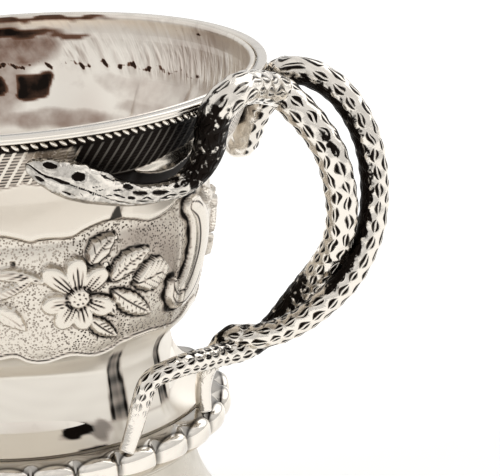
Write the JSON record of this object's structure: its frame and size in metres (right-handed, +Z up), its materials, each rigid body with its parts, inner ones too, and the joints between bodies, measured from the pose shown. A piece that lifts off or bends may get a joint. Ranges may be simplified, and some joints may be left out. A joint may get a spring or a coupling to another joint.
{
  "type": "christening mug",
  "caption": "Silver christening mug with a flared chased bowl, rope border under the lip, gadrooned collar, spreading foot and a handle of twined serpents.",
  "frame": {"origin": "centre of the bounding box in plan, on the plane that the foot wire stands on; the bowl's axis lies 10.01 mm along -X from it", "axes": "+X from the bowl towards the handle, +Y towards the far side of the picture, +Z up through the mouth"},
  "size_m": [0.108, 0.088, 0.0949],
  "materials": {
    "polished": "polished silver, softly worn",
    "chased": "chased silver with matted ground",
    "wire": "drawn silver wire, slightly oxidised in its grooves",
    "inside": "satin silver, as left inside the mug",
    "scaled": "scale-chased silver, oxidised in the cuts"
  },
  "bodies": {
    "root": {"bowl": "chased", "rim_wire": "wire", "rope_moulding": "wire", "floor_disc": "inside", "gadroon_collar": "polished", "foot": "polished", "foot_wire": "wire", "serpent_front": "scaled", "serpent_rear": "scaled"}
  },
  "joints": []
}
